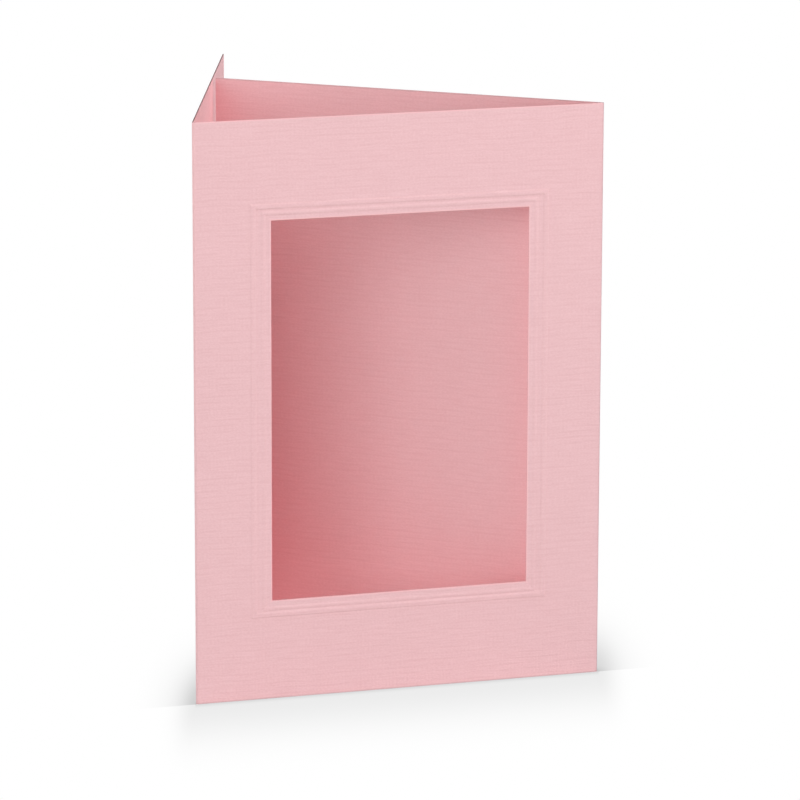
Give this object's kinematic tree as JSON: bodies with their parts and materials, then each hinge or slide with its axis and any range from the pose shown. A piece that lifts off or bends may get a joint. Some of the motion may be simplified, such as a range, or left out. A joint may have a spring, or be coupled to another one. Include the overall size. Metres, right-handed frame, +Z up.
{
  "type": "passe-partout card",
  "caption": "Tri-fold card of thin ribbed paper with a picture window and blind-embossed frames; it stands on its lower edges and shows a photo set behind the window.",
  "frame": {"origin": "centre of the standing card's bounding box, on the surface it stands on", "axes": "+Z up along the folds, front panel in the XZ plane facing -Y, flap and rear panel behind it towards +Y"},
  "size_m": [0.106, 0.0986, 0.148],
  "materials": {
    "card": "uncoated ribbed pink card, matte"
  },
  "bodies": {
    "root": {"card": "card"}
  },
  "joints": []
}
